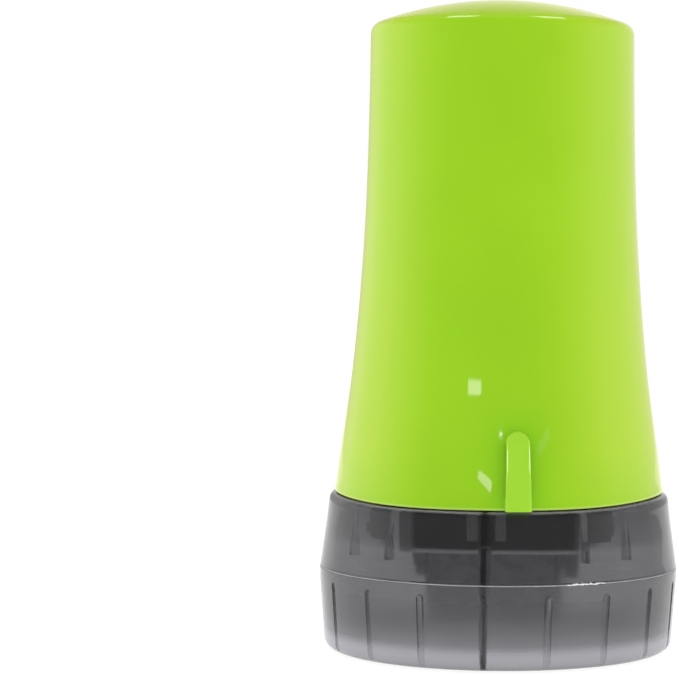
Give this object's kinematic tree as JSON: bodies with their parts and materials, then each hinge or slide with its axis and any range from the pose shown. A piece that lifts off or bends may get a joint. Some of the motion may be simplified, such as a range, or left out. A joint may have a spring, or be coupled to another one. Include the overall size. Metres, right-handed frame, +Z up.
{
  "type": "privacy roller stamp",
  "caption": "Bell-shaped grip over a replaceable ink cartridge whose roller prints a masking pattern, stored in a fluted smoky cap.",
  "frame": {"origin": "middle of the flat base of the cap, on the surface that the stamp stands on", "axes": "+Z up along the grip, -Y towards the front with the strap bar, X along the roller axles"},
  "size_m": [0.0378, 0.0378, 0.0683],
  "materials": {
    "lime_plastic": "glossy moulded, lime green",
    "smoky_plastic": "clear smoky grey, polished",
    "black_plastic": "satin black",
    "grey_plastic": "fine matt, dark grey",
    "acetal": "waxy off-white",
    "print_rubber": "matt, ink stained",
    "cushion_foam": "fine closed-cell foam",
    "ink_foam": "open-cell foam soaked in black ink",
    "steel": "ground"
  },
  "bodies": {
    "cap": {"cap_cup": "smoky_plastic", "cap_collar": "smoky_plastic"},
    "cartridge": {"cartridge_frame": "grey_plastic", "cartridge_cover": "grey_plastic", "stamp_axle": "steel", "ink_axle": "steel", "thrust_washer_left": "acetal", "thrust_washer_right": "acetal"},
    "stamp_roller": {"print_sleeve": "print_rubber", "cushion_sleeve": "cushion_foam", "roller_core": "black_plastic", "roller_flange_left": "black_plastic", "roller_flange_right": "black_plastic", "roller_bush_left": "acetal", "roller_bush_right": "acetal"},
    "ink_roller": {"ink_foam": "ink_foam", "ink_core": "acetal", "ink_collar_left": "black_plastic", "ink_collar_right": "black_plastic"},
    "grip": {"grip_shell": "lime_plastic", "chassis": "black_plastic"}
  },
  "joints": [
    {"name": "cap_pull", "type": "slide", "parent": "cap", "child": "cartridge", "axis": [0, 0, 1], "range_m": [0, 0.03]},
    {"name": "cartridge_release", "type": "slide", "parent": "cartridge", "child": "grip", "axis": [0, 0, 1], "range_m": [0, 0.028]},
    {"name": "stamp_roll", "type": "hinge", "parent": "cartridge", "child": "stamp_roller", "pos_m": [0, 0, 0.0121], "axis": [1, 0, 0], "continuous": true},
    {"name": "ink_roll", "type": "hinge", "parent": "cartridge", "child": "ink_roller", "pos_m": [0, 0, 0.02815], "axis": [1, 0, 0], "continuous": true}
  ],
  "couplings": [
    {"joint": "ink_roll", "follows": "stamp_roll", "ratio": -1.5079}
  ]
}
